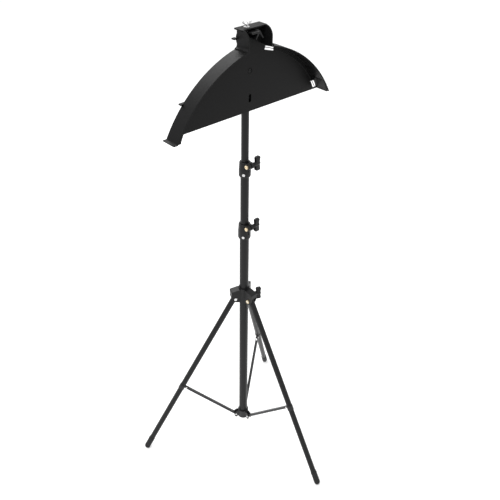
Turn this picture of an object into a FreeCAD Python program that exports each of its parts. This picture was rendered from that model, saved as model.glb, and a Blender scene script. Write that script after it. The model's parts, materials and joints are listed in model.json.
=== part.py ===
"""Telescopic tripod stand that carries a half-moon moulded shell. Millimetres, +Z up.

The origin is on the floor under the column. +X runs along the shell's straight lower edge and
-Y is the open front of the shell.
"""
import FreeCAD, Part
import math
import os

import Sketcher

V = FreeCAD.Vector
os.makedirs("parts", exist_ok=True)
doc = FreeCAD.newDocument("TripodStand")
sheet = doc.addObject("Spreadsheet::Sheet", "Sizes")

SIZES = [
    # column tubes: outer diameter, bore, lowest and highest point
    ("lower_outer", 25), ("lower_bore", 22.8), ("lower_bottom", 60), ("lower_top", 764),
    ("middle_outer", 22), ("middle_bore", 19.8), ("middle_bottom", 480), ("middle_top", 942),
    ("upper_outer", 19), ("upper_bore", 16.6), ("upper_bottom", 700), ("upper_top", 1228),
    ("slide_gap", 0.05), ("bush_length", 24), ("bush_spigot", 14), ("plug_height", 5),
    ("middle_bush_bore", 17), ("upper_bush_bore", 13),
    # split clamp collars
    ("collar_wall", 4.3), ("collar_lip_wall", 4), ("lower_collar_bottom", 737),
    ("lower_collar_height", 44), ("upper_collar_bottom", 919), ("upper_collar_height", 40),
    ("ear_width", 17), ("ear_reach", 10.4), ("ear_height", 16), ("ear_split", 2.4),
    ("bolt_drop", 7), ("bolt_radius", 3), ("nut_radius", 5), ("nut_length", 3.5),
    # wing-shaped clamp knobs
    ("knob_span", 38), ("knob_depth", 15.5), ("knob_thickness", 9), ("knob_stem_radius", 5.5),
    ("knob_stem_length", 8), ("knob_gap", 0.6), ("bolt_forward", 2.4), ("split_rise", 14),
    ("collar_screw_turn", 218), ("collar_screw_rise", 9), ("collar_screw_head", 3.6),
    # leg hub, which slides on the lower tube
    ("hub_bottom", 524), ("hub_top", 573), ("hub_outer", 31), ("hub_cheek", 2), ("hub_gap", 17),
    ("pivot_reach", 27), ("pivot_height", 541), ("rivet_radius", 2.5), ("rivet_head", 4.2),
    ("pivot_nut_radius", 5), ("pivot_nut_length", 3.6),
    ("hub_bolt_height", 543), ("boss_radius", 7.5), ("boss_reach", 27),
    # legs
    ("foot_reach", 313.5), ("leg_outer", 16), ("leg_bore", 13.8), ("leg_overhang", 6),
    ("foot_radius", 8.7), ("foot_length", 38), ("tripod_turn", 3.8),
    # struts between the legs and the spreader collar
    ("clip_distance", 346), ("clip_drop", 13), ("clip_length", 15), ("clip_ear", 3),
    ("spreader_reach", 25), ("spreader_height", 72), ("spreader_outer", 32),
    ("spreader_bottom", 58), ("spreader_top", 86), ("strut_width", 7.6), ("strut_depth", 6.4),
    ("strut_sheet", 1.3), ("spreader_gap", 8.6), ("spreader_cheek", 2),
    # half-moon shell
    ("plate_back", -10), ("plate_thick", 3), ("rim_depth", 39), ("rim_wall", 2.6),
    ("arch_radius", 307), ("arch_offset", 37), ("arch_centre", 949), ("chord_height", 1092),
    ("box_half", 35), ("box_top", 1289), ("box_corner", 21), ("box_wall", 3),
    ("saddle_half", 16), ("fixing_low", 1124), ("fixing_high", 1188),
    # clamp screw and block in the top box
    ("fixing_across", 2.5), ("lip_width", 8), ("top_overhang", 7),
    ("wing_across", -13), ("wing_back", -17), ("insert_radius", 5), ("insert_length", 5),
    ("insert_flange", 1.6), ("wing_bolt", 3), ("wing_turn", -25), ("wing_radius", 4.4),
    ("wing_rise", 10), ("wing_spread", 7), ("block_centre", 3), ("block_half", 12),
    ("block_drop", 18),
    ("block_depth", 27), ("block_seat", 2.5), ("block_gap", 1),
    # fixings, openings, tabs and ribs of the shell
    ("fixing_radius", 2.5), ("fixing_head", 4.2), ("fixing_recess", 5.6), ("slot_half", 3.8),
    ("slot_travel", 6), ("socket_rise", 10), ("socket_height", 120), ("socket_depth", 24),
    ("high_window_from", 45), ("high_window_wide", 30), ("high_window_foot", 1218),
    ("high_window_tall", 8.5), ("high_window_slant", 9), ("low_window_from", 204),
    ("low_window_wide", 12.3), ("low_window_foot", 1095), ("low_window_tall", 20),
    ("low_window_slant", 10), ("cheek_height", 58), ("cheek_fillet", 6),
    ("tab_reach", 9), ("tab_thick", 3), ("cheek_tab_foot", 1266), ("rim_tab_from", 178),
    ("rim_tab_length", 15), ("rim_tab_foot", 1158), ("lip_end", 243), ("lip_thick", 2.4),
    ("rib_from", 16), ("rib_length", 72), ("rib_depth", 6), ("rib_thick", 2.4),
    ("rib_low", 1130), ("rib_high", 1200), ("pad_foot", 10.5), ("pad_top", 33),
]
for row, (alias, number) in enumerate(SIZES, start=1):
    sheet.set(f"A{row}", alias)
    sheet.set(f"B{row}", str(number))
    sheet.setAlias(f"B{row}", alias)
doc.recompute()

SUBPARTS = []


def size(alias):
    """The number in the sheet's cell of this name."""
    return float(sheet.get(alias))


def bind(item, prop, formula):
    """Binds a property to a formula whose words are the sheet's aliases."""
    item.setExpression(prop, formula)


def cell(alias):
    return "Sizes." + alias


def keep(item, label):
    """Marks an object as a sub-part and gives it the name of its file."""
    item.Label = label
    SUBPARTS.append(item)
    return item


# ---------------------------------------------------------------- PartDesign helpers
def new_body(name):
    return doc.addObject("PartDesign::Body", name)


def new_sketch(body, name, role):
    """A sketch on one of the body's own origin planes."""
    plane = next(f for f in body.Origin.OriginFeatures if f.Role == role)
    sketch = body.newObject("Sketcher::SketchObject", name)
    sketch.AttachmentSupport = [(plane, "")]
    sketch.MapMode = "FlatFace"
    return sketch


def add_circle(sketch, radius_formula, start_radius):
    """A circle about the sketch's origin, with its radius bound to a formula."""
    circle = sketch.addGeometry(Part.Circle(V(0, 0, 0), V(0, 0, 1), start_radius))
    sketch.addConstraint(Sketcher.Constraint("Coincident", circle, 3, -1, 1))
    radius = sketch.addConstraint(Sketcher.Constraint("Radius", circle, start_radius))
    sketch.setExpression(f"Constraints[{radius}]", radius_formula)


def add_outline(sketch, corners):
    """A closed outline of straight lines through the corners."""
    points = [V(x, y, 0) for x, y in corners]
    lines = [sketch.addGeometry(Part.LineSegment(a, b))
             for a, b in zip(points, points[1:] + points[:1])]
    for line, following in zip(lines, lines[1:] + lines[:1]):
        sketch.addConstraint(Sketcher.Constraint("Coincident", line, 2, following, 1))
    for line in lines:
        sketch.addConstraint(Sketcher.Constraint("Block", line))


def pad(body, sketch, name, length_formula, midplane=False):
    feature = body.newObject("PartDesign::Pad", name)
    feature.Profile = sketch
    feature.Midplane = midplane
    bind(feature, "Length", length_formula)
    body.Tip = feature
    return feature


def pocket(body, sketch, name, length_formula, midplane=False):
    feature = body.newObject("PartDesign::Pocket", name)
    feature.Profile = sketch
    feature.Midplane = midplane
    bind(feature, "Length", length_formula)
    body.Tip = feature
    return feature


def revolve(body, sketch, name):
    """A full turn of the profile about the sketch's upright axis."""
    feature = body.newObject("PartDesign::Revolution", name)
    feature.Profile = sketch
    feature.ReferenceAxis = (sketch, ["V_Axis"])
    feature.Angle = 360
    body.Tip = feature
    return feature


def polar(body, features, name, count):
    feature = body.newObject("PartDesign::PolarPattern", name)
    feature.Originals = features
    axis = next(f for f in body.Origin.OriginFeatures if f.Role == "Z_Axis")
    feature.Axis = (axis, [""])
    feature.Angle = 360
    feature.Occurrences = count
    body.Tip = feature
    return feature


def tube_blank(label, outer, bore, bottom, top):
    """A round tube between two heights on the column."""
    body = new_body(label)
    sketch = new_sketch(body, label + "_section", "XY_Plane")
    add_circle(sketch, f"{cell(outer)} / 2", size(outer) / 2)
    add_circle(sketch, f"{cell(bore)} / 2", size(bore) / 2)
    pad(body, sketch, label + "_pad", f"{cell(top)} - {cell(bottom)}")
    bind(body, "Placement.Base.z", cell(bottom))
    return body


def turned(label, profile, place=None):
    """A body turned about its own Z from a profile of (radius, height) corners."""
    body = new_body(label)
    sketch = new_sketch(body, label + "_profile", "XZ_Plane")
    add_outline(sketch, profile)
    revolve(body, sketch, label + "_turn")
    if place is not None:
        body.Placement = place
    return body


# ---------------------------------------------------------------- Part helpers
def box(name, corner, extent):
    """A block from its lowest corner. Each entry is a formula."""
    item = doc.addObject("Part::Box", name)
    for prop, formula in zip(("Length", "Width", "Height"), extent):
        bind(item, prop, formula)
    for axis, formula in zip("xyz", corner):
        bind(item, f"Placement.Base.{axis}", formula)
    return item


AXIS_TURN = {
    "x": FreeCAD.Rotation(V(0, 1, 0), 90),
    "y": FreeCAD.Rotation(V(1, 0, 0), -90),
    "z": FreeCAD.Rotation(),
}


def rod(name, radius, length, base, axis="z"):
    """A round bar that starts at base and runs along +axis. Each size is a formula."""
    item = doc.addObject("Part::Cylinder", name)
    bind(item, "Radius", radius)
    bind(item, "Height", length)
    item.Placement = FreeCAD.Placement(V(), AXIS_TURN[axis])
    for letter, formula in zip("xyz", base):
        bind(item, f"Placement.Base.{letter}", formula)
    return item


def placed_rod(name, radius, length, place):
    """A round bar along the Z of any placement."""
    item = doc.addObject("Part::Cylinder", name)
    bind(item, "Radius", radius)
    bind(item, "Height", length)
    item.Placement = place
    return item


def joined(name, items):
    item = doc.addObject("Part::MultiFuse", name)
    item.Shapes = items
    return item


def shared(name, items):
    item = doc.addObject("Part::MultiCommon", name)
    item.Shapes = items
    return item


def removed(name, base, tool):
    item = doc.addObject("Part::Cut", name)
    item.Base = base
    item.Tool = tool
    return item


# ---------------------------------------------------------------- column
def guide_bush(label, tube_bore, own_bore, around, bottom, spigot_gap):
    """Plastic guide at a tube's lower end: a spigot in the tube over a wider sliding skirt.

    With a spigot_gap the tube can turn on the spigot, otherwise it is pressed on.
    """
    skirt = size(around) / 2 - size("slide_gap")
    inner = size(own_bore) / 2
    spigot = size(tube_bore) / 2 - spigot_gap
    length = size("bush_length")
    shoulder = length - 4 * spigot_gap
    rise = size("bush_spigot")
    profile = [(inner, 0), (skirt - 0.8, 0), (skirt, 0.8), (skirt, shoulder),
               (spigot, shoulder), (spigot, length + rise), (inner, length + rise)]
    body = turned(label, profile)
    bind(body, "Placement.Base.z", f"{cell(bottom)} - {cell('bush_length')}")
    return keep(body, label)


def end_plug(label, tube_bore, tube_outer, height_formula, upright):
    """Flat plastic cap with a spigot, for the open end of a tube."""
    outer = size(tube_outer) / 2
    spigot = size(tube_bore) / 2
    height = size("plug_height")
    rise = 12
    profile = [(0, 0), (outer - 1, 0), (outer, 1), (outer, height), (spigot, height),
               (spigot, height + rise), (0, height + rise)]
    body = turned(label, profile)
    if not upright:
        body.Placement = FreeCAD.Placement(V(), FreeCAD.Rotation(V(1, 0, 0), 180))
    bind(body, "Placement.Base.z", height_formula)
    return keep(body, label)


keep(tube_blank("lower_tube", "lower_outer", "lower_bore", "lower_bottom", "lower_top"),
     "lower_tube")
keep(tube_blank("middle_tube", "middle_outer", "middle_bore", "middle_bottom", "middle_top"),
     "middle_tube")
upper_blank = tube_blank("upper_tube_blank", "upper_outer", "upper_bore", "upper_bottom",
                         "upper_top")
screw_way = rod("upper_tube_screw_way", f"{cell('fixing_radius')} + {cell('slide_gap')}", "40",
                (cell("fixing_across"), "-20", cell("fixing_high")), axis="y")
keep(removed("upper_tube", upper_blank, screw_way), "upper_tube")
guide_bush("middle_guide_bush", "middle_bore", "middle_bush_bore", "lower_bore", "middle_bottom",
           0)
guide_bush("upper_guide_bush", "upper_bore", "upper_bush_bore", "middle_bore", "upper_bottom",
           size("slide_gap"))
end_plug("column_foot_plug", "lower_bore", "lower_outer",
         f"{cell('lower_bottom')} - {cell('plug_height')}", True)
end_plug("column_top_plug", "upper_bore", "upper_outer",
         f"{cell('upper_top')} + {cell('plug_height')}", False)


# ---------------------------------------------------------------- clamp collars
def clamp_collar(label, held, sliding, bottom, height):
    """Split collar fixed on one tube, whose upper end squeezes the tube that slides in it.

    Two ears stand at the front on either side of the split, with the clamp bolt across them.
    """
    grip = size(held) / 2
    slide = size(sliding) / 2 + size("slide_gap")
    tall = size(height)
    base = size(bottom)
    body_outer = grip + size("collar_wall")
    lip_outer = slide + size("collar_lip_wall")
    seat = size("lower_top" if held == "lower_outer" else "middle_top") - base
    profile = [(grip, 0), (body_outer - 1.2, 0), (body_outer, 3), (body_outer, seat - 4),
               (body_outer - 0.6, tall - 16), (lip_outer + 0.5, tall - 4),
               (lip_outer, tall - 1), (lip_outer - 1, tall),
               (slide, tall), (slide, seat), (grip, seat)]
    ring = turned(label + "_ring", profile)
    bind(ring, "Placement.Base.z", cell(bottom))
    bolt_z = f"{cell(bottom)} + {cell(height)} - {cell('bolt_drop')}"
    front = f"-({cell(held)} / 2 + {cell('collar_wall')})"
    ear_round = rod(label + "_ear_round", f"{cell('ear_height')} / 2", cell("ear_width"),
                    (f"-{cell('ear_width')} / 2", bolt_line(held), bolt_z),
                    axis="x")
    ear_box = box(label + "_ear_box",
                  (f"-{cell('ear_width')} / 2", bolt_line(held),
                   f"{bolt_z} - {cell('ear_height')} / 2"),
                  (cell("ear_width"), f"{cell('ear_reach')} - 3", cell("ear_height")))
    solid = joined(label + "_solid", [ring, ear_round, ear_box])
    split = box(label + "_split",
                (f"-{cell('ear_split')} / 2", f"{front} - {cell('ear_reach')} - 8",
                 f"{cell(bottom)} + {cell('split_rise')}"),
                (cell("ear_split"), f"{cell('ear_reach')} + 14", cell(height)))
    bore = rod(label + "_slide_bore", f"{cell(sliding)} / 2 + {cell('slide_gap')}", cell(height),
               ("0", "0", cell(bottom)))
    grip_bore = rod(label + "_grip_bore", f"{cell(held)} / 2", f"{seat}",
                    ("0", "0", cell(bottom)))
    bolt_hole = rod(label + "_bolt_hole", f"{cell('bolt_radius')} + {cell('slide_gap')}",
                    f"{cell('ear_width')} + 2",
                    (f"-{cell('ear_width')} / 2 - 1", bolt_line(held), bolt_z), axis="x")
    holes = joined(label + "_holes", [split, bore, grip_bore, bolt_hole])
    return keep(removed(label, solid, holes), label)


def bolt_line(held):
    """Formula of the clamp bolt's place in front of the column's axis."""
    return f"-({cell(held)} / 2 + {cell('collar_wall')} + {cell('bolt_forward')})"


def knob(label, place):
    """Wing knob. Its own Z is the bolt's axis, its wings run along its own X."""
    span = size("knob_span")
    depth = size("knob_depth")
    thick = size("knob_thickness")
    stem = size("knob_stem_length")
    body = new_body(label + "_wing")
    sketch = new_sketch(body, label + "_outline", "XZ_Plane")
    half = span / 2
    add_outline(sketch, [(-half, stem + 2), (-half + 2, stem), (half - 2, stem),
                         (half, stem + 2), (half - 0.5, stem + 9),
                         (half - 4, stem + depth - 1.5), (6, stem + depth),
                         (-6, stem + depth), (-half + 4, stem + depth - 1.5),
                         (-half + 0.5, stem + 9)])
    blank = pad(body, sketch, label + "_wing_pad", cell("knob_thickness"), midplane=True)
    doc.recompute()
    rounded = body.newObject("PartDesign::Fillet", label + "_wing_round")
    long_edges = [f"Edge{n}" for n, edge in enumerate(blank.Shape.Edges, 1)
                  if abs(abs(edge.CenterOfMass.y) - thick / 2) < 0.01]
    rounded.Base = (blank, long_edges)
    rounded.Radius = 1
    body.Tip = rounded
    barrel = rod(label + "_barrel", cell("knob_stem_radius"),
                 f"{cell('knob_stem_length')} + {cell('knob_depth')} - 2", ("0", "0", "0"))
    hole = rod(label + "_hole", cell("bolt_radius"), f"{cell('knob_stem_length')} + 6",
               ("0", "0", "0"))
    solid = joined(label + "_solid", [body, barrel])
    item = removed(label, solid, hole)
    item.Placement = place
    return keep(item, label)


def clamp_bolt(label, length, place):
    """Plain-shank stud that is moulded into the knob; its own Z points at the knob's end."""
    item = doc.addObject("Part::Cylinder", label)
    bind(item, "Radius", cell("bolt_radius"))
    item.Height = length
    item.Placement = place
    return keep(item, label)


def slotted_nut(label, place):
    """Round brass nut with a screwdriver slot across its outer face; own Z points outwards."""
    radius = size("nut_radius")
    disc = rod(label + "_disc", cell("nut_radius"), cell("nut_length"), ("0", "0", "0"))
    shank = rod(label + "_bore", f"{cell('bolt_radius')} + {cell('slide_gap')}",
                f"{cell('nut_length')} - 1.2", ("0", "0", "0"))
    slot = box(label + "_slot", ("-0.6", f"-{radius}", f"{cell('nut_length')} - 1"),
               ("1.2", f"{2 * radius}", "2"))
    item = removed(label, disc, joined(label + "_cuts", [shank, slot]))
    item.Placement = place
    return keep(item, label)


def collar_screw(label, held, height):
    """Small cross-head screw that pins the collar to its tube."""
    outer = size(held) / 2 + size("collar_wall")
    head = rod(label + "_head", cell("collar_screw_head"), "1.8", ("0", "0", "0"))
    slot_a = box(label + "_slot_a", ("-0.5", "-2.2", "1"), ("1", "4.4", "2"))
    slot_b = box(label + "_slot_b", ("-2.2", "-0.5", "1"), ("4.4", "1", "2"))
    item = removed(label, head, joined(label + "_cross", [slot_a, slot_b]))
    angle = math.radians(size("collar_screw_turn"))
    across = V(math.cos(angle), math.sin(angle), 0)
    turn = FreeCAD.Rotation(V(0, 0, 1), across)
    item.Placement = FreeCAD.Placement(across * outer + V(0, 0, height), turn)
    return keep(item, label)


def bolt_set(prefix, held, bottom, height):
    """Clamp knob, its stud and the brass nut at the far ear."""
    front = -(size(held) / 2 + size("collar_wall") + size("bolt_forward"))
    level = size(bottom) + size(height) - size("bolt_drop")
    half = size("ear_width") / 2
    seat = half + size("knob_gap")
    along_x = AXIS_TURN["x"]
    knob(prefix + "_clamp_knob", FreeCAD.Placement(V(seat, front, level), along_x))
    reach = size("knob_stem_length") + 6
    clamp_bolt(prefix + "_clamp_stud", half + 1.5 + seat + reach,
               FreeCAD.Placement(V(-half - 1.5, front, level), along_x))
    slotted_nut(prefix + "_clamp_nut",
                FreeCAD.Placement(V(-half, front, level), FreeCAD.Rotation(V(0, 1, 0), -90)))


clamp_collar("lower_clamp_collar", "lower_outer", "middle_outer", "lower_collar_bottom",
             "lower_collar_height")
bolt_set("lower", "lower_outer", "lower_collar_bottom", "lower_collar_height")
collar_screw("lower_collar_screw", "lower_outer",
             size("lower_collar_bottom") + size("collar_screw_rise"))
clamp_collar("upper_clamp_collar", "middle_outer", "upper_outer", "upper_collar_bottom",
             "upper_collar_height")
bolt_set("upper", "middle_outer", "upper_collar_bottom", "upper_collar_height")
collar_screw("upper_collar_screw", "middle_outer",
             size("upper_collar_bottom") + size("collar_screw_rise"))

# ---------------------------------------------------------------- tripod geometry
TILT = math.degrees(math.atan2(size("foot_reach") - size("pivot_reach"), size("pivot_height")))
AZIMUTHS = {"front": 270, "right": 30, "left": 150}


def azimuth(name):
    return AZIMUTHS[name] + size("tripod_turn")


def radial_place(turn, reach, height, tilt=0.0):
    """A frame whose X points outwards at this azimuth, tilted about its own Y."""
    spin = FreeCAD.Rotation(V(0, 0, 1), turn)
    base = spin.multVec(V(reach, 0, height))
    return FreeCAD.Placement(base, spin.multiply(FreeCAD.Rotation(V(0, 1, 0), tilt)))


def at_azimuth(turn):
    return FreeCAD.Placement(V(), FreeCAD.Rotation(V(0, 0, 1), turn))


# ---------------------------------------------------------------- leg hub
def leg_hub():
    """Sleeve that slides on the lower tube, with three folded brackets for the legs."""
    body = new_body("leg_hub_body")
    low = size("hub_bottom")
    high = size("hub_top")
    section = new_sketch(body, "hub_section", "XY_Plane")
    add_circle(section, f"{cell('hub_outer')} / 2", size("hub_outer") / 2)
    sleeve = pad(body, section, "hub_sleeve", f"{cell('hub_top')} - {cell('hub_bottom')}")
    bracket = new_sketch(body, "hub_bracket", "XZ_Plane")
    eye = size("pivot_height") - low
    reach = size("pivot_reach")
    top = high - 3 - low
    add_outline(bracket, [(8, top), (17, top), (reach + 9.5, eye + 25), (reach + 11.5, eye + 22),
                          (reach + 11.5, eye + 4), (reach + 7, eye - 9), (reach - 5, eye - 12),
                          (8, eye - 14)])
    cheeks = pad(body, bracket, "hub_bracket_pad",
                 f"{cell('hub_gap')} + 2 * {cell('hub_cheek')}", midplane=True)
    window = new_sketch(body, "hub_window", "XZ_Plane")
    add_outline(window, [(16.2, top - 4), (reach + 9.2, eye + 20.5), (reach + 9.2, eye + 9),
                         (reach + 15, eye + 9), (reach + 15, eye - 21), (16.2, eye - 21)])
    gap = pocket(body, window, "hub_window_cut", cell("hub_gap"), midplane=True)
    polar(body, [cheeks, gap], "hub_three", 3)
    core = new_sketch(body, "hub_core", "XY_Plane")
    add_circle(core, f"{cell('hub_outer')} / 2", size("hub_outer") / 2)
    pad(body, core, "hub_core_pad", f"{cell('hub_top')} - {cell('hub_bottom')}")
    return body


hub_blank = leg_hub()
hub_blank.Placement = FreeCAD.Placement(V(0, 0, size("hub_bottom")),
                                        FreeCAD.Rotation(V(0, 0, 1), 30))
BOSS_TURN = -30
boss_place = FreeCAD.Placement(V(0, 0, size("hub_bolt_height")),
                               FreeCAD.Rotation(V(0, 0, 1), BOSS_TURN).multiply(AXIS_TURN["x"]))
boss = placed_rod("hub_boss", cell("boss_radius"), cell("boss_reach"), boss_place)
hub_solid = joined("leg_hub_solid", [hub_blank, boss])
hub_bore = rod("hub_bore", f"{cell('lower_outer')} / 2 + {cell('slide_gap')}", "200",
               ("0", "0", "450"))
stud_hole = placed_rod("hub_stud_hole", f"{cell('bolt_radius')} + {cell('slide_gap')}", "60",
                       boss_place)
hub_cuts = [hub_bore, stud_hole]
for name, turn in AZIMUTHS.items():
    spin = FreeCAD.Rotation(V(0, 0, 1), turn)
    base = spin.multVec(V(size("pivot_reach"), -30, size("pivot_height")))
    hub_cuts.append(placed_rod(f"hub_rivet_hole_{name}", cell("rivet_radius"), "60",
                               FreeCAD.Placement(base, spin.multiply(AXIS_TURN["y"]))))
hub = removed("leg_hub", hub_solid, joined("hub_all_cuts", hub_cuts))
hub.Placement = at_azimuth(size("tripod_turn"))
keep(hub, "leg_hub")


# The hub's clamp stud stands square to the column, midway between two legs.
HUB_STUD_TURN = BOSS_TURN + size("tripod_turn")
stud_out = FreeCAD.Rotation(V(0, 0, 1), HUB_STUD_TURN)
stud_turn = stud_out.multiply(AXIS_TURN["x"])
stud_level = V(0, 0, size("hub_bolt_height"))
stud_tip = size("lower_outer") / 2 + 0.4
knob_seat = size("boss_reach") + size("knob_gap")
knob("hub_clamp_knob",
     FreeCAD.Placement(stud_out.multVec(V(knob_seat, 0, 0)) + stud_level, stud_turn))
clamp_bolt("hub_clamp_stud", knob_seat + size("knob_stem_length") + 6 - stud_tip,
           FreeCAD.Placement(stud_out.multVec(V(stud_tip, 0, 0)) + stud_level, stud_turn))


def pivot_bolt(name, half_width, place):
    """Bolt through two cheeks along the placement's Y, with its head on the +Y side."""
    nut = size("pivot_nut_length")
    shank = doc.addObject("Part::Cylinder", name + "_shank")
    bind(shank, "Radius", cell("rivet_radius"))
    shank.Height = 2 * half_width + nut
    shank.Placement = FreeCAD.Placement(V(0, -half_width - nut, 0), AXIS_TURN["y"])
    head = doc.addObject("Part::Cylinder", name + "_head")
    bind(head, "Radius", cell("rivet_head"))
    head.Height = 1.8
    head.Placement = FreeCAD.Placement(V(0, half_width, 0), AXIS_TURN["y"])
    item = joined(name, [shank, head])
    item.Placement = place
    return item


def pivot_nut(name, half_width, place):
    """Round nut on the -Y end of a pivot bolt."""
    nut = size("pivot_nut_length")
    blank = rod(name + "_blank", cell("pivot_nut_radius"), cell("pivot_nut_length"),
                ("0", f"-{half_width + nut}", "0"), axis="y")
    bore = rod(name + "_bore", cell("rivet_radius"), f"{nut + 4}",
               ("0", f"-{half_width + nut + 2}", "0"), axis="y")
    item = removed(name, blank, bore)
    item.Placement = place
    return item


def group(label, items):
    """Several separate solids that share one file."""
    item = doc.addObject("Part::Compound", label)
    item.Links = items
    return keep(item, label)


cheek_half = size("hub_gap") / 2 + size("hub_cheek")
for label, maker in (("leg_pivot_bolts", pivot_bolt), ("leg_pivot_nuts", pivot_nut)):
    group(label, [maker(f"{label}_{name}", cheek_half,
                        radial_place(azimuth(name), size("pivot_reach"), size("pivot_height")))
                  for name in AZIMUTHS])

# ---------------------------------------------------------------- spreader collar
def spreader_collar():
    """Ring on the column's foot with three pairs of ears for the struts."""
    body = new_body("spreader_blank")
    low = size("spreader_bottom")
    tall = size("spreader_top") - low
    pin = size("spreader_height") - low
    reach = size("spreader_reach")
    section = new_sketch(body, "spreader_section", "XY_Plane")
    add_circle(section, f"{cell('spreader_outer')} / 2", size("spreader_outer") / 2)
    pad(body, section, "spreader_ring", f"{cell('spreader_top')} - {cell('spreader_bottom')}")
    ears = new_sketch(body, "spreader_ears", "XZ_Plane")
    add_outline(ears, [(10, tall - 3), (20, tall - 3), (reach + 2, pin + 6.5),
                       (reach + 4.5, pin + 3), (reach + 4.5, pin - 5), (reach + 2.5, pin - 10),
                       (reach - 2, pin - 12.5), (reach - 5, pin - 9), (10, pin - 9)])
    lobes = pad(body, ears, "spreader_ear_pad",
                f"{cell('spreader_gap')} + 2 * {cell('spreader_cheek')}", midplane=True)
    slot = new_sketch(body, "spreader_slot", "XZ_Plane")
    add_outline(slot, [(16.6, -20), (16.6, tall + 5), (reach + 20, tall + 5), (reach + 20, -20)])
    gap = pocket(body, slot, "spreader_slot_cut", cell("spreader_gap"), midplane=True)
    polar(body, [lobes, gap], "spreader_three", 3)
    return body


spreader_blank = spreader_collar()
spreader_blank.Placement = radial_place(azimuth("right"), 0, size("spreader_bottom"))
spreader_bore = rod("spreader_bore", f"{cell('lower_outer')} / 2", "80", ("0", "0", "30"))
spreader_cuts = [spreader_bore]
for name in AZIMUTHS:
    middle = radial_place(azimuth(name), size("spreader_reach"), size("spreader_height"))
    start = middle.multiply(FreeCAD.Placement(V(0, -30, 0), AXIS_TURN["y"]))
    spreader_cuts.append(placed_rod(f"spreader_rivet_hole_{name}", "1.8", "60", start))
keep(removed("spreader_collar", spreader_blank, joined("spreader_cuts", spreader_cuts)),
     "spreader_collar")


def ear_stub(name, side, place):
    """Half rivet that fills one ear's hole and has its head outside the ear."""
    inner = size("spreader_gap") / 2
    outer = inner + size("spreader_cheek")
    shank = doc.addObject("Part::Cylinder", name + "_shank")
    shank.Radius = 1.8
    bind(shank, "Height", cell("spreader_cheek"))
    head = doc.addObject("Part::Cylinder", name + "_head")
    head.Radius = 3.2
    head.Height = 1.4
    if side > 0:
        shank_start, head_start = inner, outer
    else:
        shank_start, head_start = -outer, -outer - 1.4
    shank.Placement = FreeCAD.Placement(V(0, shank_start, 0), AXIS_TURN["y"])
    head.Placement = FreeCAD.Placement(V(0, head_start, 0), AXIS_TURN["y"])
    item = joined(name, [shank, head])
    item.Placement = place
    return item


group("spreader_rivets",
      [ear_stub(f"spreader_rivet_{name}_{side + 1}", side,
                radial_place(azimuth(name), size("spreader_reach"), size("spreader_height")))
       for name in AZIMUTHS for side in (-1, 1)])

# ---------------------------------------------------------------- legs, clips and struts
LEG_TO_FLOOR = math.hypot(size("foot_reach") - size("pivot_reach"), size("pivot_height"))
FOOT_CENTRE = (size("pivot_height") - size("foot_radius")) / math.cos(math.radians(TILT))
CLIP_EAR_END = 3.4


def leg_tube(name, place):
    """Leg tube about its own Z, with the hub pivot at its origin and its foot at -Z."""
    label = f"leg_tube_{name}"
    outer = rod(label + "_outer", f"{cell('leg_outer')} / 2", f"{FOOT_CENTRE - 3}",
                ("0", "0", f"{cell('leg_overhang')} - {FOOT_CENTRE - 3}"))
    inner = rod(label + "_inner", f"{cell('leg_bore')} / 2", f"{FOOT_CENTRE}",
                ("0", "0", f"1 - {FOOT_CENTRE} + {cell('leg_overhang')}"))
    hole = rod(label + "_pivot_hole", f"{cell('rivet_radius')} + {cell('slide_gap')}", "40",
               ("0", "-20", "0"), axis="y")
    item = removed(label, outer, joined(label + "_cuts", [inner, hole]))
    item.Placement = place
    return keep(item, label)


def foot(name, place):
    """Rubber cap over the leg's lower end, with a round underside and a rib round its mouth."""
    label = f"rubber_foot_{name}"
    radius = size("foot_radius")
    tall = size("foot_length")
    dome = [(radius * math.sin(a), radius - radius * math.cos(a) - radius)
            for a in [math.radians(n * 15) for n in range(1, 7)]]
    grip = size("leg_outer") / 2
    tube_end = FOOT_CENTRE - 3 - size("leg_overhang")
    floor = FOOT_CENTRE - tube_end
    profile = [(0, -radius)] + dome + [(radius, tall - 9), (radius + 0.5, tall - 8),
                                       (radius + 0.5, tall - 5), (radius, tall - 4),
                                       (radius - 0.2, tall), (grip, tall), (grip, floor),
                                       (0, floor)]
    body = turned(label, profile,
                  place.multiply(FreeCAD.Placement(V(0, 0, -FOOT_CENTRE), FreeCAD.Rotation())))
    return keep(body, label)


def strut_clip(name, place):
    """Band round the leg with one ear underneath for the strut's forked end."""
    label = f"strut_clip_{name}"
    centre = f"-{cell('clip_distance')}"
    band = rod(label + "_band", f"{cell('leg_outer')} / 2 + 1.2", cell("clip_length"),
               ("0", "0", f"{centre} - {cell('clip_length')} / 2"))
    ear = box(label + "_ear", (f"-{cell('clip_drop')}", f"-{cell('clip_ear')} / 2",
                               f"{centre} - {CLIP_EAR_END}"),
              (cell("clip_drop"), cell("clip_ear"), f"{2 * CLIP_EAR_END}"))
    nose = rod(label + "_nose", f"{CLIP_EAR_END}", cell("clip_ear"),
               (f"-{cell('clip_drop')}", f"-{cell('clip_ear')} / 2", centre), axis="y")
    bore = rod(label + "_bore", f"{cell('leg_outer')} / 2", f"{cell('clip_length')} + 4",
               ("0", "0", f"{centre} - {cell('clip_length')} / 2 - 2"))
    hole = rod(label + "_hole", "1.55", "20",
               (f"-{cell('clip_drop')}", "-10", centre), axis="y")
    item = removed(label, joined(label + "_solid", [band, ear, nose]),
                   joined(label + "_cuts", [bore, hole]))
    item.Placement = place
    return keep(item, label)


def clip_rivet(name, place):
    """Rivet that holds the strut's fork on the clip's ear."""
    label = f"strut_rivet_{name}"
    half = size("strut_width") / 2
    shank = rod(label + "_shank", "1.5", f"{2 * half}", ("0", f"-{half}", "0"), axis="y")
    heads = [rod(f"{label}_head_{n}", "2.6", "1.1", ("0", f"{start}", "0"), axis="y")
             for n, start in enumerate((-half - 1.1, half))]
    item = joined(label, [shank] + heads)
    item.Placement = place
    return keep(item, label)


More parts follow.
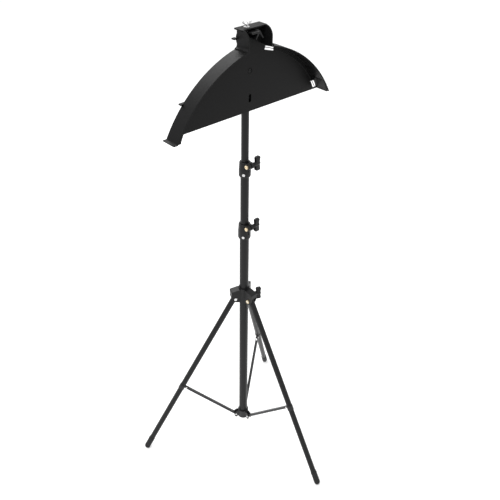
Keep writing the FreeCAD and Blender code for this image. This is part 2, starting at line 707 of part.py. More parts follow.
def strut(name, place, length):
    """Pressed channel. Its own Z runs from the spreader's ears up to the clip; web on -X."""
    label = f"strut_{name}"
    width = cell("strut_width")
    depth = cell("strut_depth")
    outer = box(label + "_outer", (f"-{depth} / 2", f"-{width} / 2", "0"),
                (depth, width, f"{length}"))
    ends = [rod(f"{label}_end_{n}", f"{depth} / 2", width, ("0", f"-{width} / 2", level),
                axis="y")
            for n, level in enumerate(("0", f"{length}"))]
    channel = box(label + "_channel",
                  (f"-{depth} / 2 + {cell('strut_sheet')}",
                   f"-{width} / 2 + {cell('strut_sheet')}", "-10"),
                  (f"{depth} + 4", f"{width} - 2 * {cell('strut_sheet')}",
                   f"{length} + 20"))
    window = box(label + "_window",
                 (f"-{depth} / 2 - 2", f"-{width} / 2 + {cell('strut_sheet')}",
                  f"{length} - 9"),
                 (f"{depth} + 4", f"{width} - 2 * {cell('strut_sheet')}", "40"))
    holes = [rod(f"{label}_hole_{n}", "1.55", "20", ("0", "-10", level), axis="y")
             for n, level in enumerate(("0", f"{length}"))]
    item = removed(label, joined(label + "_solid", [outer] + ends),
                   joined(label + "_cuts", [channel, window] + holes))
    item.Placement = place
    return keep(item, label)


lean = math.radians(TILT)
clip_reach = (size("pivot_reach") + size("clip_distance") * math.sin(lean)
              - size("clip_drop") * math.cos(lean))
clip_height = (size("pivot_height") - size("clip_distance") * math.cos(lean)
               - size("clip_drop") * math.sin(lean))
run = clip_reach - size("spreader_reach")
climb = clip_height - size("spreader_height")
strut_length = math.hypot(run, climb)
strut_lean = math.degrees(math.atan2(run, climb))
for leg_name in AZIMUTHS:
    leg_place = radial_place(azimuth(leg_name), size("pivot_reach"), size("pivot_height"), -TILT)
    leg_tube(leg_name, leg_place)
    foot(leg_name, leg_place)
    strut_clip(leg_name, leg_place)
    clip_rivet(leg_name, leg_place.multiply(FreeCAD.Placement(
        V(-size("clip_drop"), 0, -size("clip_distance")), FreeCAD.Rotation())))
    strut(leg_name, radial_place(azimuth(leg_name), size("spreader_reach"),
                                 size("spreader_height"), strut_lean), strut_length)
print("leg tilt", round(TILT, 3), "clip", round(clip_reach, 3), round(clip_height, 3),
      "strut", round(strut_length, 3), "lean", round(strut_lean, 3))

# ---------------------------------------------------------------- half-moon shell
def arch(name, shrink, front, back):
    """Pointed arch that both flank circles share, between two depths, down to the floor."""
    flanks = [rod(f"{name}_flank_{n}", f"{cell('arch_radius')} - {shrink}",
                  f"{back} - ({front})",
                  (f"{sign}{cell('arch_offset')}", front, cell("arch_centre")), axis="y")
              for n, sign in enumerate(("", "-"))]
    return shared(name, flanks)


PLATE_BACK = cell("plate_back")
PLATE_FRONT = f"{cell('plate_back')} - {cell('plate_thick')}"
RIM_FRONT = f"{cell('plate_back')} - {cell('rim_depth')}"
BOX_INNER = f"{cell('box_half')} - {cell('box_wall')}"


def cheek(name, side):
    """One side wall of the top box, with its upper front corner rounded."""
    left = f"-{cell('box_half')}" if side < 0 else BOX_INNER
    corner = cell("box_corner")
    tall = cell("cheek_height")
    low = f"{cell('box_top')} - {tall}"
    wall = cell("box_wall")
    rear = box(name + "_rear", (left, f"{RIM_FRONT} + {corner}", low),
               (wall, f"{cell('rim_depth')} - {corner}", tall))
    front = box(name + "_front", (left, RIM_FRONT, low), (wall, corner, f"{tall} - {corner}"))
    curve = rod(name + "_curve", corner, wall,
                (left, f"{RIM_FRONT} + {corner}", f"{cell('box_top')} - {corner}"), axis="x")
    return joined(name, [rear, front, curve])


def end_pad(name, side):
    """Thickening inside the rim's lower end."""
    body = new_body(name)
    sketch = new_sketch(body, name + "_outline", "XZ_Plane")
    chord = size("chord_height")
    half = math.sqrt(size("arch_radius") ** 2 - (chord - size("arch_centre")) ** 2)
    end = half - size("arch_offset")
    foot = size("pad_foot")
    top = size("pad_top")
    corners = [(end - 1.5, 1.5), (end - foot, 1.5), (end - foot - 1, 6), (end - 24, top),
               (end - 22.2, top), (end - 12, top - 15)]
    add_outline(sketch, [(side * x, chord + z) for x, z in corners])
    pad(body, sketch, name + "_pad", f"{cell('rim_depth')} - {cell('plate_thick')}")
    body.Placement = FreeCAD.Placement(V(0, size("plate_back") - size("plate_thick"), 0),
                                       FreeCAD.Rotation())
    return body


def window(kind, side):
    """Slanted opening in the plate that runs along under the rim."""
    near = size(kind + "_from")
    far = near + size(kind + "_wide")
    foot = size(kind + "_foot")
    tall = size(kind + "_tall")
    slant = size(kind + "_slant")
    if kind == "high_window":
        corners = [(near, foot + slant), (near + 3, foot + slant + tall), (far, foot + tall),
                   (far, foot)]
    else:
        corners = [(near, foot + tall), (near + slant, foot), (far + slant - 1, foot),
                   (far + slant - 3.5, foot + 8), (far, foot + tall - 1)]
    name = f"shell_{kind}_{'right' if side > 0 else 'left'}"
    body = new_body(name)
    sketch = new_sketch(body, name + "_outline", "XZ_Plane")
    add_outline(sketch, [(side * x, z) for x, z in corners])
    pad(body, sketch, name + "_pad", f"{cell('plate_thick')} + 8")
    body.Placement = FreeCAD.Placement(V(0, size("plate_back") + 4, 0), FreeCAD.Rotation())
    return body


def cheek_fillet(name, side):
    """Hollow corner where a cheek runs out into the top of the rim."""
    radius = size("cheek_fillet")
    half = size("box_half")
    level = size("arch_centre") + math.sqrt(size("arch_radius") ** 2
                                            - (half + radius + size("arch_offset")) ** 2)
    blank = box(name + "_blank",
                (f"{half - 1 if side > 0 else -half - radius}", RIM_FRONT, f"{level - 1.5}"),
                (f"{radius + 1}", f"{cell('rim_depth')}", f"{radius + 4}"))
    hollow = rod(name + "_hollow", cell("cheek_fillet"), f"{cell('rim_depth')} + 4",
                 (f"{side * (half + radius)}", f"{RIM_FRONT} - 2", f"{level + radius + 2.6}"),
                 axis="y")
    return removed(name, blank, hollow)


def half_moon_shell():
    """Moulded shell: flat back plate, rim round its arch, clamp box on top, socket behind."""
    outside = arch("shell_outside", "0", RIM_FRONT, PLATE_BACK)
    hollow = arch("shell_hollow", cell("rim_wall"), f"{RIM_FRONT} - 5", PLATE_FRONT)
    throat = box("shell_throat", (f"-({BOX_INNER})", f"{RIM_FRONT} - 5", "1150"),
                 (f"2 * ({BOX_INNER})", f"{cell('rim_depth')} - {cell('plate_thick')} + 5",
                  "300"))
    below = box("shell_below", ("-500", "-200", "0"), ("1000", "400", cell("chord_height")))
    bowl = removed("shell_bowl", outside, joined("shell_bowl_cuts", [hollow, throat, below]))
    rear_wall = box("shell_rear_wall", (f"-{cell('box_half')}", PLATE_FRONT, "1200"),
                    (f"2 * {cell('box_half')}", cell("plate_thick"),
                     f"{cell('box_top')} - 1200"))
    top = box("shell_top", (f"-{cell('box_half')} - 1.5", f"{RIM_FRONT} + {cell('box_corner')}",
                            f"{cell('box_top')} - {cell('box_wall')}"),
              (f"2 * {cell('box_half')} + 3",
               f"{cell('rim_depth')} - {cell('box_corner')} + {cell('top_overhang')}",
               cell("box_wall")))
    cheeks = [cheek("shell_cheek_left", -1), cheek("shell_cheek_right", 1)]
    cheek_trim = arch("shell_cheek_trim", cell("rim_wall"), f"{RIM_FRONT} - 5", PLATE_FRONT)
    trimmed = [removed(f"shell_cheek_{n}", item, cheek_trim) for n, item in enumerate(cheeks)]
    pads = [end_pad("shell_pad_left", -1), end_pad("shell_pad_right", 1)]
    fillets = [cheek_fillet("shell_fillet_left", -1), cheek_fillet("shell_fillet_right", 1)]
    tabs = []
    for side, word in ((-1, "left"), (1, "right")):
        reach = size("tab_reach")
        start = size("box_half") if side > 0 else -size("box_half") - reach
        tabs.append(box(f"shell_cheek_tab_{word}",
                        (f"{start}", f"{PLATE_BACK} - 2", cell("cheek_tab_foot")),
                        (cell("tab_reach"), cell("tab_reach"), cell("tab_thick"))))
        length = size("rim_tab_length")
        start = size("rim_tab_from") if side > 0 else -size("rim_tab_from") - length
        tabs.append(box(f"shell_rim_tab_{word}",
                        (f"{start}", f"{PLATE_BACK} - 3", cell("rim_tab_foot")),
                        (cell("rim_tab_length"), cell("tab_reach"), cell("tab_thick"))))
    lip = box("shell_lip", (f"-{cell('lip_end')}", RIM_FRONT, cell("chord_height")),
              (f"{cell('lip_width')} + 3", cell("rim_depth"), cell("lip_thick")))
    socket = box("shell_socket", (f"-{cell('saddle_half')}", PLATE_FRONT,
                                  f"{cell('chord_height')} + {cell('socket_rise')}"),
                 (f"2 * {cell('saddle_half')}",
                  f"{cell('plate_thick')} + {cell('socket_depth')}", cell("socket_height")))
    ribs = []
    for level in ("rib_low", "rib_high"):
        for side, word in ((-1, "left"), (1, "right")):
            start = size("rib_from") if side > 0 else -size("rib_from") - size("rib_length")
            ribs.append(box(f"shell_{level}_{word}", (f"{start}", PLATE_BACK, cell(level)),
                            (cell("rib_length"), cell("rib_depth"), cell("rib_thick"))))
    solid = joined("shell_solid", [bowl, rear_wall, top, lip, socket] + trimmed + fillets + pads
                   + tabs + ribs)
    bore = rod("shell_bore", f"{cell('upper_outer')} / 2", f"{cell('upper_top')} - 1000 + "
               + cell("plug_height"), ("0", "0", "1000"))
    screw_hole = rod("shell_screw_hole", cell("fixing_recess"), "10",
                     (cell("fixing_across"), f"{PLATE_FRONT} - 7", cell("fixing_high")),
                     axis="y")
    screw_bore = rod("shell_screw_bore", cell("fixing_radius"), "60",
                     (cell("fixing_across"), "-30", cell("fixing_high")), axis="y")
    slot_ends = [rod(f"shell_slot_{word}", cell("slot_half"), "14",
                     (cell("fixing_across"), f"{PLATE_FRONT} - 4",
                      f"{cell('fixing_low')} {sign} {cell('slot_travel')}"), axis="y")
                 for word, sign in (("low", "-"), ("high", "+"))]
    slot_middle = box("shell_slot_middle",
                      (f"{cell('fixing_across')} - {cell('slot_half')}", f"{PLATE_FRONT} - 4",
                       f"{cell('fixing_low')} - {cell('slot_travel')}"),
                      (f"2 * {cell('slot_half')}", "14", f"2 * {cell('slot_travel')}"))
    windows = [window(kind, side) for side in (-1, 1) for kind in ("high_window", "low_window")]
    insert_seat = rod("shell_insert_seat", cell("insert_radius"), "20",
                      (cell("wing_across"), cell("wing_back"), f"{cell('box_top')} - 10"))
    cuts = joined("shell_cuts", [bore, screw_hole, screw_bore, slot_middle, insert_seat]
                  + slot_ends + windows)
    return keep(removed("half_moon_shell", solid, cuts), "half_moon_shell")


half_moon_shell()

socket_back = f"{cell('plate_back')} + {cell('socket_depth')}"
screw_at = (cell("fixing_across"), f"{cell('plate_back')} - 2.6", cell("fixing_high"))
head_blank = rod("shell_screw_head", cell("fixing_head"), "2.6", screw_at, axis="y")
head_shank = rod("shell_screw_shank", cell("fixing_radius"), f"{cell('socket_depth')} + 6",
                 (cell("fixing_across"), cell("plate_back"), cell("fixing_high")), axis="y")
head_slots = [box(f"shell_screw_slot_{n}",
                  (f"{cell('fixing_across')} - {x / 2}", f"{cell('plate_back')} - 4",
                   f"{cell('fixing_high')} - {z / 2}"), (str(x), "2.6", str(z)))
              for n, (x, z) in enumerate([(1.2, 5), (5, 1.2)])]
keep(removed("shell_screw", joined("shell_screw_solid", [head_blank, head_shank]),
             joined("shell_screw_cross", head_slots)), "shell_screw")
nut_blank = doc.addObject("Part::Prism", "shell_nut_blank")
nut_blank.Polygon = 6
nut_blank.Circumradius = 4.6
nut_blank.Height = 4
nut_blank.Placement = FreeCAD.Placement(
    V(size("fixing_across"), size("plate_back") + size("socket_depth"), size("fixing_high")),
    AXIS_TURN["y"])
nut_bore = rod("shell_nut_bore", cell("fixing_radius"), "12",
               (cell("fixing_across"), f"{socket_back} - 4", cell("fixing_high")), axis="y")
keep(removed("shell_nut", nut_blank, nut_bore), "shell_nut")

# ---------------------------------------------------------------- clamp in the top box
WING_AT = (cell("wing_across"), cell("wing_back"))
insert_blank = joined("insert_blank", [
    rod("insert_body", cell("insert_radius"), cell("insert_length"),
        WING_AT + (f"{cell('box_top')} - {cell('box_wall')}",)),
    rod("insert_flange", f"{cell('insert_radius')} + {cell('insert_flange')}",
        cell("insert_flange"), WING_AT + (cell("box_top"),))])
insert_bore = rod("insert_bore", f"{cell('wing_bolt')} + {cell('slide_gap')}", "30",
                  WING_AT + (f"{cell('box_top')} - 12",))
keep(removed("clamp_insert", insert_blank, insert_bore), "clamp_insert")

# The block's top ridge stands just under the box's top wall.
block_level = size("box_top") - size("box_wall") - size("block_gap")
block_place = FreeCAD.Placement(V(size("block_centre"), size("plate_back") - 5, block_level),
                                FreeCAD.Rotation())
block_body = new_body("clamp_block_blank")
block_sketch = new_sketch(block_body, "clamp_block_outline", "XZ_Plane")
half_block = size("block_half")
drop = size("block_drop")
seat = -size("block_seat")
screw_side = size("wing_across") - size("block_centre")
add_outline(block_sketch, [(half_block, -drop), (half_block - 3, -drop), (0, -6),
                           (3 - half_block, -drop), (-half_block, -drop), (-6, -6),
                           (screw_side - 6, -6), (screw_side - 6, seat), (-2, seat), (0, 0),
                           (3, -3.5)])
pad(block_body, block_sketch, "clamp_block_pad", cell("block_depth"))
block_body.Placement = block_place
keep(block_body, "clamp_block")


def wing_screw():
    """Thumb screw with two upright wings, turned by hand. Its tip stands over the block."""
    top = cell("box_top")
    tip = block_level + seat + 0.3
    shaft = rod("wing_shaft", cell("wing_bolt"), f"{top} + 6 - {tip}", WING_AT + (f"{tip}",))
    barrel = doc.addObject("Part::Cone", "wing_barrel")
    barrel.Radius1 = 4.6
    barrel.Radius2 = 3.4
    barrel.Height = 6
    barrel.Placement.Base = V(size("wing_across"), size("wing_back"), size("box_top") + 4.6)
    turn = FreeCAD.Rotation(V(0, 0, 1), size("wing_turn"))
    wings = []
    for side in (-1, 1):
        wing = doc.addObject("Part::Cylinder", f"wing_{side + 1}")
        bind(wing, "Radius", cell("wing_radius"))
        wing.Height = 2
        centre = turn.multVec(V(side * size("wing_spread"), -1, 0))
        wing.Placement = FreeCAD.Placement(
            V(size("wing_across"), size("wing_back"), size("box_top") + size("wing_rise"))
            + centre, turn.multiply(AXIS_TURN["y"]))
        wings.append(wing)
    return keep(joined("wing_screw", [shaft, barrel] + wings), "wing_screw")


wing_screw()

# ---------------------------------------------------------------- checks and files
doc.recompute()
for item in doc.Objects:
    if "Invalid" in item.State or "Error" in item.State:
        raise RuntimeError(f"{item.Name} ({item.Label}) failed: {item.State}")
for item in SUBPARTS:
    shape = item.Shape
    if shape.isNull() or not shape.isValid():
        raise RuntimeError(f"{item.Label} has no valid shape")
    shape.exportStep(f"parts/{item.Label}.step")
    print(f"{item.Label:26s} solids {len(shape.Solids)} volume {shape.Volume:10.1f}")
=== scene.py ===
"""Studio picture of a telescopic tripod stand with a half-moon shell."""

import json
import math

import bmesh
import bpy
from mathutils import Matrix, Vector


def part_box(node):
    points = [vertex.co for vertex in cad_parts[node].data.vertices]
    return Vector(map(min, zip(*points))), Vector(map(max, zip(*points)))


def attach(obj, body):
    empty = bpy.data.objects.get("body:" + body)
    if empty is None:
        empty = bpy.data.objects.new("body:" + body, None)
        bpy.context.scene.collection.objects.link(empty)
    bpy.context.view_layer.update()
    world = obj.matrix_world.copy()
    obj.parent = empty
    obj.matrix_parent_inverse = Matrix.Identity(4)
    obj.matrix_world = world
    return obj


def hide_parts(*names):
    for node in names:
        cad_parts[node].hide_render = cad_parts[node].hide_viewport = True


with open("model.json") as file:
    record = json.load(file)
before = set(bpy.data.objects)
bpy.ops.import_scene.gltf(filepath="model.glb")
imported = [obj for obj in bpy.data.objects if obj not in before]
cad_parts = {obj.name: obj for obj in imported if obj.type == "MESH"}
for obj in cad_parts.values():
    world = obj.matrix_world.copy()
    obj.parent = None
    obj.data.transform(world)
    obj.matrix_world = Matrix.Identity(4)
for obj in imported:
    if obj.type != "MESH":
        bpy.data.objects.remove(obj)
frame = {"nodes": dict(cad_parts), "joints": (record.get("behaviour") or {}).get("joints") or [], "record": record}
NODES = frame["nodes"]
JOINTS = {joint["name"]: joint for joint in frame["joints"]}
BODY = {node: body for body, nodes in frame["record"]["behaviour"]["bodies"].items()
        for node in nodes}
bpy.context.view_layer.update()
MM = 0.001


# ---------------------------------------------------------------- materials
MOTTLE_PER_GRAIN = 1 / 12
RELIEF_DEPTH = 0.0002
BEVEL_SAMPLES = 4


def material(name, colour, rough, metal=0.0, bump=0.0, grain=900.0, mottle=0.12, gleam=0.5,
             rough_spread=0.08, edge=0.0004):
    """Principled surface with fine mottling, uneven gloss, grain and rounded edges."""
    made = bpy.data.materials.new(name)
    made.use_nodes = True
    tree = made.node_tree
    shader = tree.nodes["Principled BSDF"]
    shader.inputs["Metallic"].default_value = metal
    shader.inputs["Specular IOR Level"].default_value = gleam
    where = tree.nodes.new("ShaderNodeTexCoord")
    noise = tree.nodes.new("ShaderNodeTexNoise")
    noise.inputs["Scale"].default_value = grain * MOTTLE_PER_GRAIN
    noise.inputs["Detail"].default_value = 4
    tree.links.new(where.outputs["Object"], noise.inputs["Vector"])
    tint = tree.nodes.new("ShaderNodeMix")
    tint.data_type = "RGBA"
    dark = [c * (1 - mottle) for c in colour]
    light = [min(1.0, c * (1 + mottle)) for c in colour]
    tint.inputs["A"].default_value = (*dark, 1)
    tint.inputs["B"].default_value = (*light, 1)
    tree.links.new(noise.outputs["Fac"], tint.inputs["Factor"])
    tree.links.new(tint.outputs["Result"], shader.inputs["Base Color"])
    gloss = tree.nodes.new("ShaderNodeMapRange")
    gloss.inputs["To Min"].default_value = max(0.02, rough - rough_spread)
    gloss.inputs["To Max"].default_value = min(1.0, rough + rough_spread)
    tree.links.new(noise.outputs["Fac"], gloss.inputs["Value"])
    tree.links.new(gloss.outputs["Result"], shader.inputs["Roughness"])
    round_off = tree.nodes.new("ShaderNodeBevel")
    round_off.samples = BEVEL_SAMPLES
    round_off.inputs["Radius"].default_value = edge
    last = round_off.outputs["Normal"]
    if bump:
        fine = tree.nodes.new("ShaderNodeTexNoise")
        fine.inputs["Scale"].default_value = grain
        fine.inputs["Detail"].default_value = 3
        tree.links.new(where.outputs["Object"], fine.inputs["Vector"])
        relief = tree.nodes.new("ShaderNodeBump")
        relief.inputs["Strength"].default_value = bump
        relief.inputs["Distance"].default_value = RELIEF_DEPTH
        tree.links.new(fine.outputs["Fac"], relief.inputs["Height"])
        tree.links.new(last, relief.inputs["Normal"])
        last = relief.outputs["Normal"]
    tree.links.new(last, shader.inputs["Normal"])
    return made


LOOKS = {
    "tube_paint": material("tube_paint", (0.0070, 0.0072, 0.0075), 0.34, bump=0.15, grain=1400,
                           gleam=0.18),
    "shell_plastic": material("shell_plastic", (0.0036, 0.0036, 0.0037), 0.42, bump=0.3,
                              grain=1600, gleam=0.11, edge=0.0007),
    "black_plastic": material("black_plastic", (0.0042, 0.0042, 0.0045), 0.38, bump=0.2,
                              grain=1500, gleam=0.22, edge=0.0006),
    "strut_paint": material("strut_paint", (0.012, 0.0122, 0.013), 0.36, bump=0.1, gleam=0.26),
    "brass": material("brass", (0.74, 0.62, 0.42), 0.34, metal=1.0, bump=0.05, edge=0.0003),
    "zinc": material("zinc", (0.62, 0.62, 0.62), 0.26, metal=1.0, bump=0.05, edge=0.0003),
    # Painted shade: dark_steel is near black and not metallic so that the clamp block looks shadowed inside the
    # shell's box; every part of this slot takes that shade.
    "dark_steel": material("dark_steel", (0.005, 0.005, 0.0052), 0.30, bump=0.05, gleam=0.22),
    "foot_rubber": material("foot_rubber", (0.006, 0.006, 0.0065), 0.58, bump=0.4, grain=1100,
                            gleam=0.25),
}
SLOT_OF = {entry["node"]: entry["material_slot"] for entry in frame["record"]["subparts"]}
for name, node in NODES.items():
    node.data.materials.clear()
    node.data.materials.append(LOOKS[SLOT_OF[name]])


# ---------------------------------------------------------------- making pieces
def finish_mesh(name, mesh_data, slot, smooth_angle=32):
    """Linked object from a bmesh, shaded smooth except at edges over smooth_angle degrees."""
    piece = bpy.data.objects.new(name, bpy.data.meshes.new(name))
    mesh_data.to_mesh(piece.data)
    mesh_data.free()
    bpy.context.scene.collection.objects.link(piece)
    piece.data.materials.clear()
    piece.data.materials.append(LOOKS[slot])
    piece.data.polygons.foreach_set("material_index", [0] * len(piece.data.polygons))
    piece.data.shade_smooth()
    piece.data.set_sharp_from_angle(angle=math.radians(smooth_angle))
    return piece


def install(piece, slot, body, *nodes):
    """The piece moves with the body and stands for the nodes. The slot argument is not used."""
    if nodes:
        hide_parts(*nodes)
    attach(piece, body)
    return piece


FLAT_ANGLE = math.radians(0.6)
SHARP_ANGLE = math.radians(30)


def softened(node, width, segments=2):
    """A fresh piece of the node's form, with its sharp edges rounded to width in millimetres."""
    slot = SLOT_OF[node]
    shape = bmesh.new()
    shape.from_mesh(NODES[node].data)
    bmesh.ops.remove_doubles(shape, verts=shape.verts, dist=1e-6)
    bmesh.ops.dissolve_limit(shape, angle_limit=FLAT_ANGLE, verts=shape.verts,
                             edges=shape.edges)
    sharp = [e for e in shape.edges
             if len(e.link_faces) == 2 and e.calc_face_angle(0) > SHARP_ANGLE]
    bmesh.ops.bevel(shape, geom=sharp, offset=width * MM, segments=segments, profile=0.5,
                    affect="EDGES", clamp_overlap=True, loop_slide=True)
    piece = finish_mesh(node + "_form", shape, slot)
    weighted = piece.modifiers.new("weighted_normals", "WEIGHTED_NORMAL")
    weighted.keep_sharp = True
    weighted.weight = 100
    return install(piece, slot, BODY[node], node)


def lathe(profile, place, turns=48):
    """Closed surface turned about local Z from (radius, height) pairs in millimetres."""
    shape = bmesh.new()
    rings = []
    for radius, height in profile:
        if radius < 1e-6:
            rings.append([shape.verts.new((0, 0, height * MM))])
        else:
            rings.append([shape.verts.new((radius * MM * math.cos(2 * math.pi * n / turns),
                                           radius * MM * math.sin(2 * math.pi * n / turns),
                                           height * MM)) for n in range(turns)])
    for low, high in zip(rings, rings[1:]):
        for n in range(turns):
            m = (n + 1) % turns
            if len(low) == 1:
                shape.faces.new((low[0], high[m], high[n]))
            elif len(high) == 1:
                shape.faces.new((low[n], low[m], high[0]))
            else:
                shape.faces.new((low[n], low[m], high[m], high[n]))
    bmesh.ops.recalc_face_normals(shape, faces=shape.faces)
    shape.transform(place)
    return shape


def smooth_loop(corners, steps=6):
    """Closed rounded outline through the corners."""
    points = []
    count = len(corners)
    for n in range(count):
        before, a, b, after = (corners[(n + k) % count] for k in (-1, 0, 1, 2))
        for s in range(steps):
            t = s / steps
            points.append(tuple(
                0.5 * (2 * a[k] + (b[k] - before[k]) * t
                       + (2 * before[k] - 5 * a[k] + 4 * b[k] - after[k]) * t * t
                       + (3 * a[k] - before[k] - 3 * b[k] + after[k]) * t ** 3)
                for k in range(2)))
    return points


def plate(outline, thickness, place, edge, segments=4, taper=None):
    """Flat piece in the local XZ plane, centred on it, with rounded rims. Millimetres."""
    shape = bmesh.new()
    half = thickness / 2
    front = [shape.verts.new((x * MM, -half * MM, z * MM)) for x, z in outline]
    back = [shape.verts.new((x * MM, half * MM, z * MM)) for x, z in outline]
    faces = [shape.faces.new(front), shape.faces.new(list(reversed(back)))]
    rim_edges = list(shape.edges)
    count = len(outline)
    for n in range(count):
        m = (n + 1) % count
        shape.faces.new((front[n], back[n], back[m], front[m]))
    bmesh.ops.recalc_face_normals(shape, faces=shape.faces)
    bmesh.ops.bevel(shape, geom=rim_edges, offset=edge * MM, segments=segments, profile=0.5,
                    affect="EDGES", clamp_overlap=True)
    if taper:
        for vert in shape.verts:
            vert.co.y *= taper(vert.co.x / MM, vert.co.z / MM)
    shape.transform(place)
    return shape


def merged(*parts):
    """One bmesh that holds all the parts."""
    whole = parts[0]
    for part in parts[1:]:
        spare = bpy.data.meshes.new("spare")
        part.to_mesh(spare)
        part.free()
        whole.from_mesh(spare)
        bpy.data.meshes.remove(spare)
    return whole


def axis_frame(origin, along, up):
    """Placement whose Z runs along one direction and whose X is near another."""
    z = Vector(along).normalized()
    x = (Vector(up) - z * Vector(up).dot(z)).normalized()
    y = z.cross(x)
    turned = Matrix((x, y, z)).transposed().to_4x4()
    return Matrix.Translation(Vector(origin)) @ turned


# ---------------------------------------------------------------- clamp knobs
KNOB_STEM = 8
KNOB_DEPTH = 15.4
KNOB_HALF = 18.8
KNOB_THICK = 8.8


def clamp_knob(node, origin, along):
    """Wing knob: a round stem and a thick paddle with softly squared corners."""
    place = axis_frame(origin, along, (0, 0, 1))
    top = KNOB_STEM + KNOB_DEPTH
    side = [(KNOB_HALF, KNOB_STEM + 4.5), (KNOB_HALF, top - 3.4), (KNOB_HALF - 1.0, top - 1.0),
            (KNOB_HALF - 3.4, top), (7, top - 1.1)]
    under = [(7, KNOB_STEM + 1.2), (KNOB_HALF - 4, KNOB_STEM + 0.4),
             (KNOB_HALF - 1.2, KNOB_STEM + 1.6)]
    outline = ([(-x, z) for x, z in side] + [(x, z) for x, z in reversed(side)]
               + [(x, z) for x, z in reversed(under)] + [(-x, z) for x, z in under])
    wing = plate(outline, KNOB_THICK, place, 1.5, taper=lambda x, z: 1 - 0.10 * math.cos(
        math.pi * min(1, abs(x) / KNOB_HALF) / 2))
    barrel = lathe([(3.1, 0), (5.0, 0), (5.4, 0.5), (5.4, KNOB_STEM), (5.4, top - 2.6),
                    (4.8, top - 1.2), (3.4, top - 0.4), (0, top - 0.4)], place)
    piece = finish_mesh(node + "_form", merged(wing, barrel), "black_plastic", 40)
    return install(piece, "black_plastic", BODY[node], node)


for prefix in ("lower", "upper"):
    joint = JOINTS[prefix + "_knob_turn"]
    low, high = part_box(prefix + "_clamp_knob")
    clamp_knob(prefix + "_clamp_knob", (low.x, joint["pos_m"][1], joint["pos_m"][2]),
               joint["axis"])
HUB_KNOB_REACH = 0.0256
joint = JOINTS["hub_knob_turn"]
outward = Vector(joint["axis"])
clamp_knob("hub_clamp_knob", Vector((0, 0, joint["pos_m"][2])) + outward * HUB_KNOB_REACH,
           outward)

# ---------------------------------------------------------------- forms with rounded edges
for name, width in (("half_moon_shell", 0.6), ("lower_clamp_collar", 0.8),
                    ("upper_clamp_collar", 0.8), ("leg_hub", 0.7), ("spreader_collar", 0.6),
                    ("clamp_block", 0.4)):
    softened(name, width)
for side in ("front", "right", "left"):
    softened("strut_" + side, 0.3)
    softened("strut_clip_" + side, 0.4)

# ---------------------------------------------------------------- wing screw
WING_TURN = math.radians(-25)
WING_THICK = 1.7


def wing_screw(node):
    """Thumb screw: a collar on a shaft, and two thin wings that lean outward."""
    low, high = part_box(node)
    centre = JOINTS["wing_screw_turn"]["pos_m"]
    shaft_foot = (low.z - centre[2]) / MM
    rise = (high.z - centre[2]) / MM
    place = Matrix.Translation(Vector(centre))
    collar = lathe([(0, shaft_foot), (2.5, shaft_foot), (2.9, shaft_foot + 0.6), (2.9, 4.6),
                    (4.4, 4.7), (4.6, 5.2), (4.5, 8.6), (3.6, 10.2), (2.2, 10.8), (0, 10.8)],
                   place)
    turned = place @ Matrix.Rotation(WING_TURN, 4, "Z") @ Matrix.Translation(
        (0, -0.001, 0))
    outline = smooth_loop([(1.4, 6.4), (4.4, 6.2), (7.8, 7.6), (10.6, 10.2), (10.9, 12.6),
                           (9.6, rise - 0.4), (7.2, rise - 0.6), (5.6, 12.0), (3.6, 9.6),
                           (1.2, 9.4)], 4)
    wings = [plate([(side * x, z) for x, z in outline], WING_THICK, turned, 0.6, 2)
             for side in (-1, 1)]
    piece = finish_mesh(node + "_form", merged(collar, *wings), "zinc", 40)
    return install(piece, "zinc", BODY[node], node)


wing_screw("wing_screw")


# ---------------------------------------------------------------- moulded lines and rings
def swept(name, path, radius, slot, body, closed=False, sides=10):
    """Round bead of one radius along a path of points in metres."""
    shape = bmesh.new()
    rings = []
    count = len(path)
    for n, point in enumerate(path):
        before = path[(n - 1) % count] if closed or n else point
        after = path[(n + 1) % count] if closed or n < count - 1 else point
        along = (after - before).normalized()
        across = along.cross(Vector((0, 1, 0)))
        across = (across if across.length > 0.1 else along.cross(Vector((0, 0, 1)))).normalized()
        over = along.cross(across)
        rings.append([shape.verts.new(point + radius * (
            across * math.cos(2 * math.pi * k / sides) + over * math.sin(2 * math.pi * k / sides)))
            for k in range(sides)])
    pairs = list(zip(rings, rings[1:])) + ([(rings[-1], rings[0])] if closed else [])
    for low, high in pairs:
        for k in range(sides):
            m = (k + 1) % sides
            shape.faces.new((low[k], low[m], high[m], high[k]))
    if not closed:
        shape.faces.new(rings[0])
        shape.faces.new(rings[-1])
    bmesh.ops.recalc_face_normals(shape, faces=shape.faces)
    piece = finish_mesh(name, shape, slot, 50)
    return install(piece, slot, body)


# The shell's arch is two arcs whose centres stand either side of the column.
SHELL_LOW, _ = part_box("half_moon_shell")
PLATE_FRONT = -0.013
BEAD_PLANE = PLATE_FRONT - 0.0001
ARCH_RADIUS, ARCH_OFFSET, ARCH_CENTRE = 0.307, 0.037, 0.949
BEAD_INSET = 0.0115
BEAD_RADIUS = 0.0008
BEAD_ARC = ARCH_RADIUS - BEAD_INSET
BEAD_STEPS = 60
BEAD_FOOT_RISE = 0.0025
BEAD_NEAREST = 0.041
first = math.asin((SHELL_LOW.z + BEAD_FOOT_RISE - ARCH_CENTRE) / BEAD_ARC)
last = math.acos((BEAD_NEAREST + ARCH_OFFSET) / BEAD_ARC)
for side, label in ((-1, "left"), (1, "right")):
    arc = []
    for n in range(BEAD_STEPS + 1):
        angle = first + (last - first) * n / BEAD_STEPS
        arc.append(Vector((side * (BEAD_ARC * math.cos(angle) - ARCH_OFFSET), BEAD_PLANE,
                           ARCH_CENTRE + BEAD_ARC * math.sin(angle))))
    swept(f"rim_bead_{label}", arc, BEAD_RADIUS, "shell_plastic", "head")

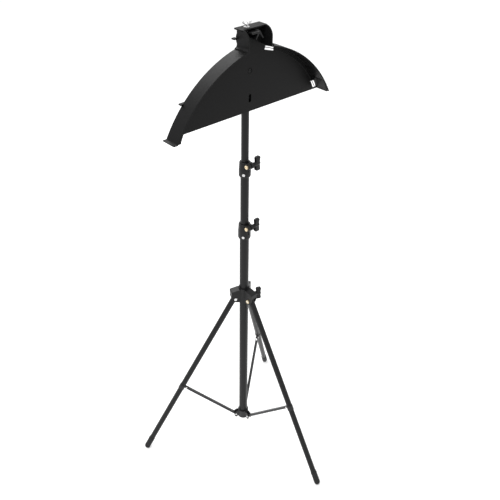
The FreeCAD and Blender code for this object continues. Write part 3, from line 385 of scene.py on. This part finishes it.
RING_RADIUS = 0.0058
RING_THICK = 0.0005
RING_STEPS = 40
screw_low, screw_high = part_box("shell_screw")
screw_at = (screw_low + screw_high) / 2
ring = [Vector((screw_at.x + RING_RADIUS * math.cos(2 * math.pi * n / RING_STEPS), BEAD_PLANE,
                screw_at.z + RING_RADIUS * math.sin(2 * math.pi * n / RING_STEPS)))
        for n in range(RING_STEPS)]
swept("screw_ring", ring, RING_THICK, "shell_plastic", "head", closed=True)

# ---------------------------------------------------------------- floor, light, camera
FLOOR_HALF = 30
FLOOR_GREY = 0.96
SKY_STRENGTH = 1.04
floor_shape = bmesh.new()
bmesh.ops.create_grid(floor_shape, x_segments=1, y_segments=1, size=FLOOR_HALF)
floor = bpy.data.objects.new("floor", bpy.data.meshes.new("floor"))
floor_shape.to_mesh(floor.data)
floor_shape.free()
bpy.context.scene.collection.objects.link(floor)
pale = bpy.data.materials.new("pale_floor")
pale.use_nodes = True
matte = pale.node_tree.nodes["Principled BSDF"].inputs
matte["Base Color"].default_value = (FLOOR_GREY, FLOOR_GREY, FLOOR_GREY, 1)
matte["Roughness"].default_value = 0.9
matte["Specular IOR Level"].default_value = 0.1
floor.data.materials.append(pale)

world = bpy.data.worlds.new("studio")
bpy.context.scene.world = world
world.use_nodes = True
world.node_tree.nodes["Background"].inputs["Color"].default_value = (1, 1, 1, 1)
world.node_tree.nodes["Background"].inputs["Strength"].default_value = SKY_STRENGTH


def soft_light(name, place, target, size, power):
    """Rectangular area light at a place, aimed at the target."""
    lamp = bpy.data.lights.new(name, "AREA")
    lamp.shape = "RECTANGLE"
    lamp.size, lamp.size_y = size
    lamp.energy = power
    item = bpy.data.objects.new(name, lamp)
    bpy.context.scene.collection.objects.link(item)
    item.location = place
    aim = Vector(target) - Vector(place)
    item.rotation_euler = aim.to_track_quat("-Z", "Y").to_euler()
    return item


soft_light("key", (-1.9, -0.2, 3.3), (0, 0, 0.9), (1.6, 1.6), 62)
soft_light("side", (2.2, -1.6, 2.2), (0, 0, 0.8), (1.4, 2.0), 7)
soft_light("back", (0.5, 2.4, 2.8), (0, 0, 1.0), (2.0, 1.4), 42)

CAMERA_PLACE = (-0.9914, -1.1034, 1.7264)
LENS_MM = 48.96
SENSOR_MM = 36
yaw, pitch, roll = (math.radians(angle) for angle in (42.53, 34.8, 0.74))
forward = Vector((math.sin(yaw) * math.cos(pitch), math.cos(yaw) * math.cos(pitch),
                  -math.sin(pitch)))
level = Vector((math.cos(yaw), -math.sin(yaw), 0))
upward = level.cross(forward)
right = level * math.cos(roll) + upward * math.sin(roll)
top = upward * math.cos(roll) - level * math.sin(roll)
lens = bpy.data.cameras.new("camera")
lens.lens = LENS_MM
lens.sensor_width = SENSOR_MM
lens.dof.use_dof = False
camera = bpy.data.objects.new("camera", lens)
bpy.context.scene.collection.objects.link(camera)
turned = Matrix((right, top, -forward)).transposed().to_4x4()
camera.matrix_world = Matrix.Translation(CAMERA_PLACE) @ turned
bpy.context.scene.camera = camera
bpy.context.scene.view_settings.view_transform = "Standard"
